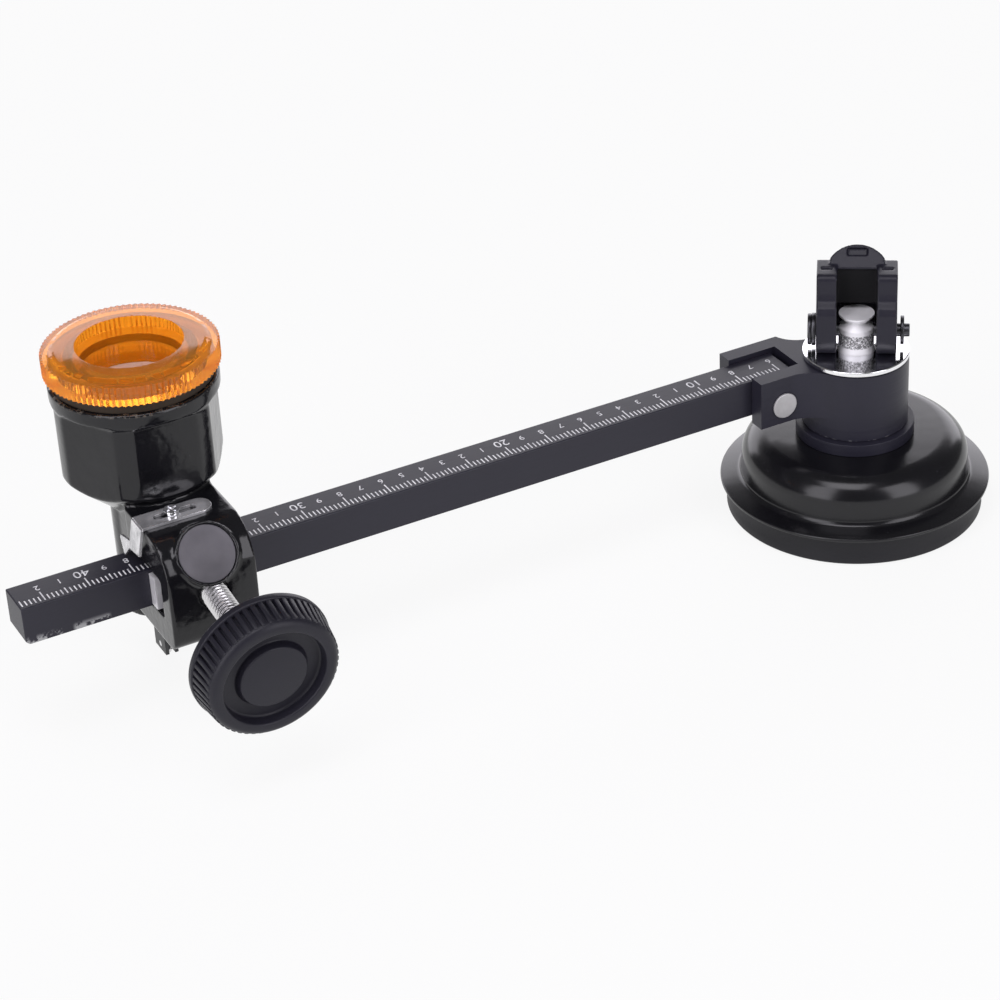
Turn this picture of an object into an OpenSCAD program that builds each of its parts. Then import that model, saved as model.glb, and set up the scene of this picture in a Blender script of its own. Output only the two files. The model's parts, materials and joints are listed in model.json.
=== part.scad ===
// Glass circle cutter: a suction base with a cam lever, a hinged ruler arm and a sliding
// cutter carriage with an oil cup, a clamp knob and a scale pointer.
// Millimetres. +Z is up, the arm lies along -X, and the origin is the centre of the suction face.

/* [Suction base] */
// Radius of the rubber suction pad
pad_r = 30; // [27:0.5:36]
// Height of the rubber pad below the housing flange
pad_h = 6.8; // [5:0.1:9]
// How far the housing flange stands out beyond the pad
flange_over = 1.5; // [0.5:0.1:3]
// Thickness of the housing flange
flange_t = 1.3; // [1:0.1:2]
// Radius of the domed housing
dome_r = 26.6; // [24:0.1:28]
// Height of the dome above the flange
dome_h = 11; // [9:0.1:14]
// Radius of the dome's rounded shoulder
shoulder_r = 4.6; // [1:0.1:5]
// Wall of the dome
dome_wall = 2.4; // [2:0.1:3]
// Thickness of the steel anchor plate that lifts the middle of the pad
anchor_t = 2; // [1:0.1:3]
// Room between the anchor plate and the inside of the dome
anchor_side = 8; // [4:0.5:12]

/* [Neck and sleeve] */
// Radius of the neck tube that the arm turns on
neck_r = 9; // [8:0.1:10]
// Radius of the thrust ring under the sleeve
thrust_r = 13.8; // [13:0.1:16]
// Height of the thrust ring
thrust_h = 3.1; // [2:0.1:5]
// Outer radius of the turning sleeve
sleeve_r = 12.25; // [11.5:0.05:13.5]
// Height of the turning sleeve
sleeve_h = 16.6; // [15:0.1:20]
// Thickness of the bright washer on top of the sleeve
washer_t = 1.2; // [0.8:0.1:2]
// Running clearance of a turning or sliding fit, on the radius
run = 0.06; // [0.02:0.01:0.1]
// Gap between faces that pass each other
gap = 0.2; // [0.1:0.05:0.3]

/* [Cam lever] */
// Turn of the lever about the neck, seen from above
lever_yaw = 34.4; // [0:0.1:60]
// Radius of the steel pull stem
stem_r = 4.1; // [3.5:0.1:4.5]
// Height of the lever pin above the washer
pin_h = 4.75; // [4.5:0.05:6]
// Radius of the lever pin
pin_r = 1.5; // [1:0.1:1.8]
// Lift of the stem when the lever is folded through a right angle
lift = 2.6; // [1.5:0.1:3]
// Length of the lever's cheeks above the pin
cheek_l = 15.8; // [14:0.1:20]
// Thickness of a cheek
cheek_t = 4.6; // [3.5:0.1:5.5]
// Side gap between the stem and a cheek
cheek_gap = 0.45; // [0.3:0.05:0.8]
// Height of the rounded thumb tongue beyond the cheeks
tongue_h = 3.3; // [2:0.1:5]

/* [Ruler arm] */
// Width of the bar
bar_w = 9.6; // [8:0.1:11]
// Height of the bar
bar_h = 8.85; // [8:0.05:10]
// Length of the bar
bar_l = 188.5; // [170:0.5:260]
// Distance of the bar's centre line behind the suction axis
bar_y = 7.9; // [6:0.1:9]
// Distance of the hinge pin from the suction axis
hinge_x = 20.3; // [20:0.1:24]
// Height of the hinge pin above the bar's underside
hinge_h = 2.9; // [2.8:0.1:4]
// Radius of the hinge pin
hinge_r = 2.2; // [1.5:0.1:2.4]
// Thickness of each clevis ear
ear_t = 4; // [3:0.1:5]
// Length of the clevis ears beyond the hinge pin
ear_l = 6.2; // [4.5:0.1:8]
// Height of the clevis
ear_h = 11.7; // [11:0.1:13]
// How far the bar's top lies below the clevis top
bar_drop = 1.1; // [0.6:0.1:1.8]

/* [Carriage] */
// Distance from the suction axis to the middle of the carriage
carriage_x = 165.2; // [60:0.1:175]
// Length of the carriage block along the bar
block_l = 20; // [18:0.5:26]
// Wall in front of the bar
front_wall = 10.6; // [9:0.1:13]
// Height of the block above the bar
block_over = 9.35; // [8:0.05:12]
// Depth of the block below the bar
block_under = 6.5; // [4:0.1:8]
// Radius of the block's rounded top front edge
block_round = 9.5; // [6:0.1:9.9]
// Clearance of the bar in the carriage tunnel, each side
tunnel_gap = 0.15; // [0.1:0.01:0.3]
// Distance of the cup's axis behind the bar's centre line
cup_back = 19.3; // [18.5:0.1:24]
// Round radius of the oil cup
cup_r = 17.9; // [17:0.1:20]
// Distance from the cup's axis to its six flats
cup_flat = 16.5; // [16:0.1:19]
// Height of the cup's flats
cup_h = 20.6; // [16:0.1:26]
// Height of the cup's rim band
rim_h = 3.5; // [2:0.1:5]
// How far the rim band stands out from the round of the cup
rim_out = 0.4; // [0.2:0.1:1]
// Bore of the oil cup
cup_bore = 14.6; // [12:0.1:15]
// Radius of the cutter neck below the cup
spout_r = 8.4; // [7:0.1:10]
// Width of the web between the block and the cutter neck
web_w = 16; // [12:0.1:16.5]
// Wall of the block behind the bar
back_wall = 2.2; // [2:0.1:4]

/* [Cap] */
// Radius of the cap over its teeth
cap_r = 19; // [18:0.1:21]
// Height of the toothed band
cap_h = 5.2; // [4:0.1:7]
// Number of teeth round the cap
cap_teeth = 90; // [40:1:120]
// Depth of the teeth
cap_tooth = 0.5; // [0.3:0.05:0.8]
// Radius of the well in the middle of the cap
well_r = 11.6; // [8:0.1:11.8]
// Depth of the well
well_d = 5.6; // [3:0.1:8]
// Height of the seal ring under the cap
seal_h = 2.5; // [1.5:0.1:3]

/* [Clamp] */
// Droop of the clamp screw below the level
clamp_tilt = 8; // [0:0.5:10]
// Height of the clamp screw's point above the middle of the bar
screw_rise = 1.9; // [0:0.1:2.1]
// Radius of the clamp screw
screw_r = 2.9; // [2:0.1:3]
// Pitch of the clamp screw
screw_pitch = 1; // [0.5:0.1:1.5]
// Turns that the clamp screw is backed off
clamp_turns = 2; // [1:0.5:2]
// Bare length of screw between the block and the knob
screw_bare = 21.5; // [14:0.5:30]
// Radius of the clamp knob
knob_r = 15.4; // [12:0.1:16.5]
// Thickness of the clamp knob
knob_t = 8.7; // [7.5:0.1:12]
// Number of grips round the knob
knob_grips = 54; // [24:1:72]
// Radius of the well in the knob's face
knob_well = 11.5; // [9:0.1:11.5]
// Radius of the raised disc in the knob's well
knob_boss = 7.6; // [5:0.1:8.5]
// Thickness of the steel gib that presses on the bar
gib_t = 3; // [2:0.1:3.5]

/* [Pointer] */
// Thickness of the pointer plate
plate_t = 0.7; // [0.4:0.05:1]
// Length of the pointer plate
plate_l = 16.6; // [14:0.1:18]
// Width of the pointer plate
plate_w = 5.6; // [5:0.1:7]
// Travel of the pointer plate outwards from its place
plate_travel = 4.5; // [2:0.1:5]
// Length of the pointer's slot on the other side of its screw
slot_spare = 3.2; // [0:0.1:3.5]
// Radius of the pointer screw's shank
dot_r = 0.85; // [0.6:0.05:1.1]

/* [Cutter] */
// Radius of the cutting wheel
wheel_r = 2.6; // [2:0.1:3.5]
// Thickness of the cutting wheel
wheel_t = 1.1; // [0.8:0.1:1.6]
// How far the cutter neck reaches below the carriage block
spout_drop = 8; // [4:0.1:9]
// Radius of the wheel holder's shank
holder_r = 4.5; // [4:0.1:5.5]
// Length of the wheel holder's shank
holder_l = 10; // [7:0.5:14]
// Width of the holder's nose, along the arm
nose_w = 3; // [2.8:0.1:4]
// Depth of the holder's nose, across the arm
nose_d = 6; // [5:0.1:8]
// Radius of the oil hole through the holder
oil_r = 0.8; // [0.4:0.1:1.2]

/* [Hidden] */
$fn = 96;
eps = 0.01;

// Heights on the suction axis
flange_r = pad_r + flange_over;
flange_top = pad_h + flange_t;
dome_top = flange_top + dome_h;
sleeve_z = dome_top + thrust_h;
sleeve_top = sleeve_z + gap + sleeve_h;
washer_z = sleeve_top + gap;
washer_top = washer_z + washer_t;
pin_z = washer_top + pin_h;
anchor_r = dome_r - dome_wall - anchor_side;

// Cam lever: the cheek's rounded heel keeps this distance from the pin as it turns
cam_gap = 0.1;
cam_k = lift / (PI / 2);
function cam_at(turn) = pin_h - cam_gap + cam_k * turn * PI / 180;
function cam_point(turn) = [
    -cam_at(turn) * sin(turn) - cam_k * cos(turn),
    -cam_at(turn) * cos(turn) + cam_k * sin(turn)];
cheek_in = stem_r + cheek_gap;
cheek_out = cheek_in + cheek_t;
stem_rise = 4.4;
lever_back = 4.2;
heel_back = 7.4;
lever_wall = 2.6;
head_r = 1.5;
sweep_r = norm([stem_r, stem_rise]) + 0.25;

// Ruler arm
bar_top = sleeve_top - bar_drop;
bar_low = bar_top - bar_h;
bar_front = bar_y - bar_w / 2;
bar_in = hinge_x - 5;
bar_out = bar_in + bar_l;
hinge_z = bar_low + hinge_h;
slot_w = bar_w + 2 * gap;
ear_out = slot_w / 2 + ear_t;
slot_end = bar_in - 1.3;
clevis_end = slot_end - 2.7;
ear_front = bar_y - ear_out;
ear_back = bar_y + ear_out;
ear_low = sleeve_top - ear_h;

// Carriage block and cup
tunnel_w = bar_w + 2 * tunnel_gap;
tunnel_h = bar_h + 2 * tunnel_gap;
block_front = bar_front - front_wall;
block_back = bar_y + tunnel_w / 2 + back_wall;
block_top = bar_top + block_over;
block_low = bar_low - block_under;
cup_y = bar_y + cup_back;
cup_z = block_top - 0.6;
rim_z = cup_z + cup_h;
cup_top = rim_z + rim_h;
cup_lift = 3.2;
cone_h = 8.8;
cup_floor = cup_z + 6;
spout_low = block_low - spout_drop;

// Side plug on the block's sloping top front, and the screw that holds the wheel holder
plug_r = 6.2;
plug_t = 1.6;
plug_sink = 0.45;
plug_up = 36;
grub_r = 1.5;
grub_z = 4;

// Cap and seal
seal_z = cup_top;
cap_z = seal_z + seal_h;
cap_top = cap_z + cap_h;
cap_lift = 4;
skirt_r = cup_bore - 2 * gap;
skirt_l = seal_h + 4.5;

// Clamp screw, along its own drooping line
clamp_travel = screw_pitch * clamp_turns;
gib_play = 0.6;
gib_front = bar_front - gib_t;
pocket_front = gib_front - clamp_travel - gib_play;
gib_h = bar_h - 1.2;
gib_over = 0.3;
dog_r = 1.5;
dog_l = 1;
tip_back = 0.6;
screw_y = gib_front;
gib_z = bar_low + bar_h / 2;
screw_z = gib_z + screw_rise;
face_run = (screw_y - block_front) / cos(clamp_tilt);
knob_at = face_run + screw_bare;
screw_seat = knob_t - 4;
bar_touch = 0.05;

// Pointer
plate_z = block_top;
plate_x = carriage_x + block_l / 2 + 0.3;
plate_y = bar_y - 4.5;
dot_x = carriage_x + 2.5;
dot_head = 1.75;
tip_gap = 0.35;
tab_lean = 11;
tab_lap = plate_t / 2;
tab_in = 0.15;
tab_l = (plate_z + tab_lap - bar_top - tip_gap) / cos(tab_lean);
foot_out = 4.8;
tip_in = 1.6;
tip_h = 2.7;

// Cutter
wheel_z = wheel_r;
axle_r = 0.7;
holder_top = spout_low + holder_l;
nose_low = wheel_z - 1.5;
wick_r = 2;

// A ring about Z from one height to another
module ring(outer, inner, low, high) {
    translate([0, 0, low])
        difference() {
            cylinder(r = outer, h = high - low);
            translate([0, 0, -eps]) cylinder(r = inner, h = high - low + 2 * eps);
        }
}

// Children drawn in the lever's own frame: pin along X at the origin, open side facing -Y
module lever_frame() {
    translate([0, 0, pin_z]) rotate([0, 0, -lever_yaw]) children();
}

// Children drawn along the clamp screw: +Z runs from the gib plate out towards the knob
module clamp_frame() {
    translate([-carriage_x, screw_y, screw_z]) rotate([90 + clamp_tilt, 0, 0]) children();
}

// Children drawn on the axis of the oil cup
module cup_frame() {
    translate([-carriage_x, cup_y, 0]) children();
}

// A disc with teeth or grips round it
module toothed(outer, depth, count, height) {
    linear_extrude(height)
        polygon([for (i = [0 : 2 * count - 1])
            let (a = 180 * i / count, r = outer - (i % 2) * depth) [r * cos(a), r * sin(a)]]);
}

module suction_pad() {
    color("#1b1b1d")
        difference() {
            rotate_extrude()
                polygon([[0, 0], [pad_r - 0.5, 0], [pad_r, 0.5], [pad_r - 0.4, pad_h], [0, pad_h]]);
            for (r = [pad_r - 4, pad_r - 7.5])
                ring(r + 0.6, r - 0.6, -eps, 0.6);
        }
}

module base_housing() {
    color("#141416")
        difference() {
            union() {
                translate([0, 0, pad_h]) cylinder(r = flange_r, h = flange_t);
                cylinder_dome(dome_r, flange_top - eps, dome_top, shoulder_r);
                translate([0, 0, dome_top - eps]) cylinder(r = neck_r, h = washer_z - dome_top + eps);
            }
            cylinder_dome(dome_r - dome_wall, pad_h - eps, dome_top - dome_wall, shoulder_r - 1);
            translate([0, 0, pad_h]) cylinder(r = stem_r + run, h = washer_z);
        }
}

// A short cylinder whose top edge is rounded
module cylinder_dome(r, low, high, edge) {
    translate([0, 0, low]) cylinder(r = r, h = high - low - edge);
    translate([0, 0, high - edge - eps]) cylinder(r = r - edge, h = edge + eps);
    translate([0, 0, high - edge])
        rotate_extrude()
            translate([r - edge, 0])
                intersection() {
                    circle(r = edge);
                    square(edge);
                }
}

module thrust_ring() {
    color("#1d1d20") ring(thrust_r, neck_r, dome_top, sleeve_z);
}

module top_washer() {
    color("#d9dadc") ring(sleeve_r + 0.1, stem_r + gap, washer_z, washer_top);
}

module anchor_plate() {
    color("#8f9092") ring(anchor_r, stem_r, pad_h, pad_h + anchor_t);
}

module pull_stem() {
    neck = 0.64 * stem_r;
    top = stem_rise;
    color("#c9c9cb")
        difference() {
            union() {
                translate([0, 0, pad_h]) cylinder(r = stem_r, h = pin_z + 1.2 - pad_h);
                translate([0, 0, pin_z + 1.2]) cylinder(r1 = stem_r, r2 = neck, h = top - 3);
                translate([0, 0, pin_z + top - 1.8]) cylinder(r1 = neck, r2 = stem_r, h = 1.4);
                translate([0, 0, pin_z + top - 0.4]) cylinder(r = stem_r, h = 0.4);
            }
            lever_frame() rotate([0, 90, 0]) cylinder(r = pin_r, h = 4 * stem_r, center = true);
        }
}

module lever_pin() {
    reach = cheek_out + 3;
    head = cheek_out + 2;
    color("#dcdde0")
        lever_frame()
            rotate([0, 90, 0]) {
                translate([0, 0, -head]) cylinder(r = pin_r, h = head + reach);
                translate([0, 0, -head]) cylinder(r = 2.4 * pin_r, h = 0.9);
            }
}

module pin_washer() {
    color("#101012")
        lever_frame()
            rotate([0, 90, 0]) ring(2.5 * pin_r, pin_r, -cheek_out - 1.05, -cheek_out - 0.15);
}

module pin_clip() {
    color("#d2d3d6")
        lever_frame()
            rotate([0, 90, 0])
                difference() {
                    ring(2.2 * pin_r, pin_r, cheek_out + 0.9, cheek_out + 1.7);
                    translate([0, -0.5 * pin_r, cheek_out]) cube([3 * pin_r, pin_r, 3]);
                }
}

// Side view of a cheek: heel that follows the cam, stepped front with a rounded head, wider at the pin
module cheek_outline() {
    nose = cam_at(90);
    face = nose - 2.6;
    polygon(concat(
        [[lever_back, cheek_l], [lever_back, 8.4], [heel_back, 4.4], [heel_back, -cam_at(0) + 2.6],
            [heel_back - 2.6, -cam_at(0)]],
        [for (turn = [0 : 7.5 : 90]) cam_point(turn)],
        [[-nose, 7.2], [-nose + 0.7, 8.6], [-nose + 2.2, 9.8], [-face, 11.4]],
        arc([-face + head_r, cheek_l - head_r], head_r, 180, 90, 6)));
}

// Side view of the wall between the cheeks, clear of the circle that the stem's head sweeps
module wall_outline() {
    difference() {
        cheek_outline();
        circle(r = sweep_r);
        translate([-20, -20]) square([20 + lever_back - lever_wall, 60]);
        translate([-20, -20]) square([40, 18]);
    }
}

module cam_lever() {
    color("#19191c")
        lever_frame()
            difference() {
                union() {
                    for (side = [-1, 1])
                        translate([side * (cheek_in + cheek_t / 2), 0, 0])
                            rotate([90, 0, 90])
                                linear_extrude(cheek_t, center = true) cheek_outline();
                    rotate([90, 0, 90])
                        linear_extrude(2 * (cheek_in + eps), center = true) wall_outline();
                    tongue();
                }
                rotate([0, 90, 0]) cylinder(r = pin_r + run, h = 4 * cheek_out, center = true);
                for (side = [-1, 1])
                    translate([side * (cheek_in + cheek_t / 2), -0.3, cheek_l])
                        cube([2.6, 1.2, 1.6], center = true);
            }
}

// Thumb tongue: a segment of a circle with a pocket, which leans back from the lever's closed end
module tongue() {
    lean = 45;
    thick = 1.8;
    half = 1.36 * cheek_in;
    r = (half * half + tongue_h * tongue_h) / (2 * tongue_h);
    translate([0, lever_back - 0.15, cheek_l - 0.1])
        rotate([90 - lean, 0, 0])
            difference() {
                linear_extrude(thick)
                    intersection() {
                        translate([0, tongue_h - r]) circle(r = r);
                        translate([-half, -lever_wall]) square([2 * half, tongue_h + lever_wall]);
                    }
                translate([-2.3, 0.6, thick - 0.9]) cube([4.6, 1.8, 2]);
            }
}

// Plan of the arm bracket: clevis block blended into the sleeve by two hollow curves
module bracket_plan() {
    front_r = 9;
    back_r = 7;
    front_c = [-sqrt(pow(sleeve_r + front_r, 2) - pow(ear_front - front_r, 2)), ear_front - front_r];
    back_a = atan2(ear_back + 1.6, -clevis_end + 7);
    back_c = (sleeve_r + back_r) * [cos(back_a), sin(back_a)];
    difference() {
        polygon([[-hinge_x - ear_l, ear_front], [front_c[0], ear_front], front_c * sleeve_r / norm(front_c),
            [0, 0], back_c * sleeve_r / norm(back_c), [-clevis_end, ear_back],
            [-hinge_x - ear_l, ear_back]]);
        translate(front_c) circle(r = front_r);
        translate(back_c) circle(r = back_r);
    }
}

module arm_bracket() {
    color("#2b2b30")
        difference() {
            union() {
                translate([0, 0, sleeve_z + gap]) cylinder(r = sleeve_r, h = sleeve_h);
                translate([0, 0, ear_low]) linear_extrude(ear_h) bracket_plan();
            }
            translate([0, 0, sleeve_z]) cylinder(r = neck_r + run, h = sleeve_h + 2);
            translate([-hinge_x - ear_l - 1, bar_y - slot_w / 2, ear_low - 1])
                cube([hinge_x + ear_l + 1 - slot_end, slot_w, ear_h + 2]);
            hinge_bore(hinge_r);
        }
}

// A bore along the hinge pin, right through the clevis
module hinge_bore(r) {
    translate([-hinge_x, bar_y, hinge_z])
        rotate([90, 0, 0]) cylinder(r = r, h = 2 * ear_out + 4, center = true);
}

module hinge_pin() {
    head_r = hinge_r + 0.9;
    head_t = 0.6;
    color("#b9b9bb")
        translate([-hinge_x, bar_y, hinge_z])
            rotate([90, 0, 0]) {
                cylinder(r = hinge_r, h = 2 * ear_out + 2 * head_t, center = true);
                for (side = [-1, 1])
                    translate([0, 0, side * (ear_out + head_t / 2)])
                        cylinder(r = head_r, h = head_t, center = true);
            }
}

module ruler_bar() {
    nick = 0.8;
    color("#232329")
        difference() {
            translate([-bar_out, bar_y + bar_w / 2, bar_low])
                rotate([90, 0, 0])
                    linear_extrude(bar_w)
                        polygon([[nick, 0], [bar_l, 0], [bar_l, bar_h], [0, bar_h], [0, nick]]);
            hinge_bore(hinge_r + run);
        }
}

// Points of an arc in the block's end view, from one angle to another
function arc(centre, r, from, to, steps) =
    [for (i = [0 : steps]) let (a = from + (to - from) * i / steps) centre + r * [cos(a), sin(a)]];

// End view of the carriage block: Y runs to the right, Z up
module block_section() {
    foot = 3;
    polygon(concat(
        [[block_back, block_low], [block_back, block_top]],
        arc([block_front + block_round, block_top - block_round], block_round, 90, 180, 24),
        arc([block_front + foot, block_low + foot], foot, 180, 270, 12)));
}

// Outside of the oil cup: a turned cutter neck, cone and cup with six flats, and a rim band
module cup_outside() {
    intersection() {
        rotate_extrude()
            polygon([[0, spout_low], [spout_r, spout_low], [spout_r, cup_z + cup_lift - cone_h],
                [cup_r, cup_z + cup_lift], [cup_r, rim_z + 1], [0, rim_z + 1]]);
        translate([0, 0, spout_low - 1])
            cylinder(r = cup_flat / cos(30), h = rim_z - spout_low + 3, $fn = 6);
    }
    translate([0, 0, rim_z]) cylinder(r = cup_r + rim_out, h = rim_h);
}

module carriage_body() {
    color("#0f0f11")
        difference() {
            union() {
                translate([-carriage_x - block_l / 2, 0, 0])
                    rotate([90, 0, 90]) linear_extrude(block_l) block_section();
                translate([-carriage_x - web_w / 2, block_back - 1, block_low])
                    cube([web_w, cup_y - block_back + 1, cup_z + 1 - block_low]);
                cup_frame() cup_outside();
                plug_frame() cylinder(r = plug_r + 0.7, h = 3);
            }
            translate([-carriage_x - block_l, bar_y - tunnel_w / 2, bar_low - tunnel_gap])
                cube([2 * block_l, tunnel_w, tunnel_h]);
            translate([-carriage_x - block_l, pocket_front, gib_z - gib_h / 2 - gib_play])
                cube([2 * block_l, bar_front - pocket_front + 1, gib_h + 2 * gib_play]);
            clamp_frame() translate([0, 0, -3]) cylinder(r = screw_r + run, h = face_run + 9);
            plug_frame() translate([0, 0, 3 - plug_t - plug_sink]) cylinder(r = plug_r, h = 3);
            cup_frame() {
                translate([0, 0, cup_floor]) cylinder(r = cup_bore, h = cup_top - cup_floor + 1);
                translate([0, 0, holder_top - 1]) cylinder(r = wick_r, h = cup_floor - holder_top + 2);
                translate([0, 0, spout_low - 1]) cylinder(r = holder_r, h = holder_l + 1);
                translate([0, holder_r - 0.5, spout_low + grub_z])
                    rotate([-90, 0, 0]) cylinder(r = grub_r, h = spout_r);
            }
            translate([-dot_x, plate_y + plate_w / 2, block_top - 4]) cylinder(r = dot_r, h = 5);
        }
}

// Side plug: a round disc let into the sloping top front of the block
module plug_frame() {
    translate([-carriage_x, block_front + block_round, block_top - block_round])
        rotate([90 - plug_up, 0, 0]) translate([0, 0, block_round - 2.7]) children();
}

module side_plug() {
    color("#1a1a1d")
        plug_frame() translate([0, 0, 3 - plug_t - plug_sink]) cylinder(r = plug_r, h = plug_t);
}

module gib_plate() {
    color("#c4c5c8")
        difference() {
            translate([-carriage_x - block_l / 2 - gib_over, gib_front, gib_z - gib_h / 2])
                cube([block_l + 2 * gib_over, gib_t - bar_touch, gib_h]);
            clamp_frame() translate([0, 0, -dog_l - run]) cylinder(r = dog_r + run, h = 3 * dog_l);
        }
}

module clamp_screw() {
    color("#bfbfc1")
        clamp_frame() {
            translate([0, 0, -dog_l]) cylinder(r = dog_r, h = dog_l + tip_back + eps);
            translate([0, 0, tip_back]) cylinder(r = screw_r, h = knob_at + screw_seat - tip_back);
        }
}

module clamp_knob() {
    step = 1.8;
    grip = 0.8;
    depth = 2.6;
    root = knob_r - grip - 0.3;
    color("#1c1c20")
        clamp_frame()
            translate([0, 0, knob_at])
                difference() {
                    union() {
                        cylinder(r = knob_r + 0.2, h = step);
                        translate([0, 0, step / 2]) toothed(knob_r, grip, knob_grips, knob_t - 1.5 * step);
                        translate([0, 0, step / 2]) cylinder(r = root, h = knob_t - 1.5 * step);
                        translate([0, 0, knob_t - step - 0.5]) cylinder(r1 = root, r2 = root - 0.6, h = step + 0.5);
                    }
                    translate([0, 0, knob_t - depth])
                        difference() {
                            cylinder(r = knob_well, h = depth + 1);
                            translate([0, 0, -1]) cylinder(r = knob_boss, h = depth + 0.2);
                        }
                    translate([0, 0, -1]) cylinder(r = screw_r, h = screw_seat + 1);
                }
}

module pointer_plate() {
    slot_r = dot_r + 0.15;
    color("#d7d8db") {
        difference() {
            translate([-plate_x, plate_y, plate_z]) {
                cube([plate_l - plate_w / 2, plate_w, plate_t]);
                translate([plate_l - plate_w / 2, plate_w / 2, 0]) cylinder(r = plate_w / 2, h = plate_t);
            }
            translate([-dot_x - slot_spare, plate_y + plate_w / 2 - slot_r, plate_z - 1])
                cube([slot_spare + plate_travel, 2 * slot_r, 3]);
            for (end = [-slot_spare, plate_travel])
                translate([-dot_x + end, plate_y + plate_w / 2, plate_z - 1])
                    cylinder(r = slot_r, h = 3);
        }
        translate([-plate_x + tab_lap, plate_y, plate_z + tab_lap])
            rotate([0, tab_lean, 0])
                translate([-plate_t, 0, 0]) rotate([90, 0, 90]) linear_extrude(plate_t) tab_outline();
    }
}

// The bent end of the pointer: a tab with a foot and a pointed tooth that reads the scale
module tab_outline() {
    foot = -tab_l + tip_h;
    side = plate_w - tab_in;
    polygon([[tab_in, 0], [side, 0], [side, foot + 1.6], [plate_w + foot_out, foot + 0.7],
        [plate_w + foot_out, foot], [plate_w + tip_in, -tab_l], [side - 0.2, foot], [tab_in, foot + 0.5]]);
}

module pointer_screw() {
    color("#e2e2e4")
        translate([-dot_x, plate_y + plate_w / 2, plate_z + plate_t])
            difference() {
                union() {
                    translate([0, 0, 0.05]) cylinder(r = dot_head, h = 0.95);
                    translate([0, 0, -4]) cylinder(r = dot_r - run, h = 4.1);
                }
                for (a = [20, 110])
                    rotate([0, 0, a]) translate([0, 0, 0.95]) cube([2.6, 0.5, 0.9], center = true);
            }
}

module oil_cap() {
    band = cap_r - 3.2;
    root = cap_r - cap_tooth - 0.2;
    color("#f08a12e0")
        cup_frame()
            difference() {
                union() {
                    translate([0, 0, cap_z]) toothed(cap_r, cap_tooth, cap_teeth, cap_h - 0.8);
                    translate([0, 0, cap_top - 1.2]) cylinder(r1 = root, r2 = band, h = 1.2);
                    translate([0, 0, cap_z - skirt_l]) cylinder(r = skirt_r, h = skirt_l + 1);
                }
                translate([0, 0, cap_top - well_d]) cylinder(r1 = well_r - 0.8, r2 = well_r, h = well_d);
                translate([0, 0, cap_z - skirt_l - 1])
                    cylinder(r = skirt_r - 2, h = skirt_l + cap_h - well_d - 0.4);
            }
}

module cap_seal() {
    color("#17130f") cup_frame() ring(cup_r - 0.4, skirt_r + gap, seal_z + 0.05, cap_z - 0.05);
}

module oil_wick() {
    color("#d8cdb4")
        cup_frame() translate([0, 0, holder_top]) cylinder(r = wick_r, h = cup_floor + 6 - holder_top);
}

module wheel_holder() {
    slot = wheel_t + 0.3;
    slot_top = wheel_z + wheel_r + 0.4;
    color("#b3a27a")
        cup_frame()
            difference() {
                union() {
                    translate([0, 0, spout_low]) cylinder(r = holder_r, h = holder_l);
                    translate([-nose_w / 2, -nose_d / 2, nose_low])
                        cube([nose_w, nose_d, spout_low - nose_low + eps]);
                }
                translate([-slot / 2, -nose_d, nose_low - 1]) cube([slot, 2 * nose_d, slot_top - nose_low + 1]);
                translate([0, 0, slot_top - eps]) cylinder(r = oil_r, h = holder_top - slot_top + 1);
                axle_line() cylinder(r = axle_r, h = 2 * nose_w, center = true);
            }
}

// Children drawn along the wheel's axle, which points along the arm
module axle_line() {
    translate([0, 0, wheel_z]) rotate([0, 90, 0]) children();
}

module holder_screw() {
    color("#3a3a3d")
        cup_frame()
            translate([0, holder_r, spout_low + grub_z])
                rotate([-90, 0, 0])
                    difference() {
                        cylinder(r = grub_r, h = spout_r - holder_r - 0.4);
                        translate([0, 0, 1.6]) cylinder(r = 0.75, h = 3, $fn = 6);
                    }
}

module wheel_axle() {
    color("#a9a9ab")
        cup_frame()
            axle_line() cylinder(r = axle_r, h = nose_w, center = true);
}

module cutter_wheel() {
    color("#8d8f93")
        cup_frame()
            axle_line()
                rotate_extrude()
                    polygon([[axle_r + run, -wheel_t / 2], [wheel_r - wheel_t / 2, -wheel_t / 2],
                        [wheel_r, 0], [wheel_r - wheel_t / 2, wheel_t / 2], [axle_r + run, wheel_t / 2]]);
}

suction_pad();
base_housing();
thrust_ring();
top_washer();
anchor_plate();
pull_stem();
lever_pin();
pin_washer();
pin_clip();
cam_lever();
arm_bracket();
hinge_pin();
ruler_bar();
carriage_body();
side_plug();
gib_plate();
clamp_screw();
clamp_knob();
pointer_plate();
pointer_screw();
oil_cap();
cap_seal();
oil_wick();
wheel_holder();
holder_screw();
wheel_axle();
cutter_wheel();
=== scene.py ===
# %% [markdown]
# Glass circle cutter
# This lesson dresses a compass-style glass cutter: a lever suction base, a hinged bar with a
# millimetre scale, and a clamped carriage with an oil cup and an amber cap. The solids come from the
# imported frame, in metres, and each one is kept in its place. We add the small forms and the finishes
# that make the tool look like the real one: eased edges, a cut thread, a printed scale and worn paint.

# %% Load the frame
import json
import math
import bpy
from mathutils import Matrix, Vector

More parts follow.
